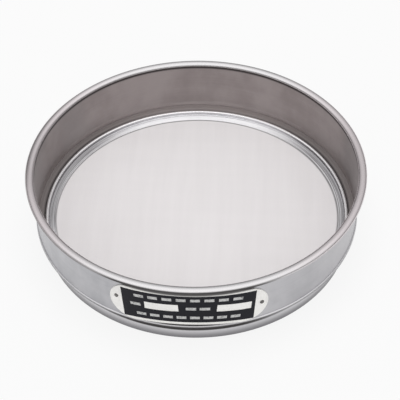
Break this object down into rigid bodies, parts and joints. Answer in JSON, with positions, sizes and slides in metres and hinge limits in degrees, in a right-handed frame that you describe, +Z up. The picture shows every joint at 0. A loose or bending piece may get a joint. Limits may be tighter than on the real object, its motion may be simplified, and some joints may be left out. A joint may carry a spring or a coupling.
{
  "type": "test sieve",
  "caption": "Round steel test sieve: a spun frame with a rolled rim and a stepped skirt that nests in the next sieve, stretched wire cloth under a press ring, and a riveted name plate.",
  "frame": {"origin": "centre of the circle on which the skirt's lower edge stands", "axes": "+Z up the sieve's axis from the skirt to the rolled rim, -Y through the middle of the name plate"},
  "size_m": [0.2104, 0.2104, 0.05],
  "materials": {
    "frame_steel": "satin, polished round the axis",
    "ring_steel": "bright, rolled",
    "cloth_wire": "fine woven wire",
    "plate_metal": "bare satin",
    "plate_black": "satin black enamel",
    "rivet_metal": "satin"
  },
  "bodies": {
    "root": {"frame_shell": "frame_steel", "press_ring": "ring_steel", "wire_cloth": "cloth_wire", "name_plate": "plate_metal", "plate_enamel": "plate_black", "rivet_left": "rivet_metal", "rivet_right": "rivet_metal"}
  },
  "joints": []
}
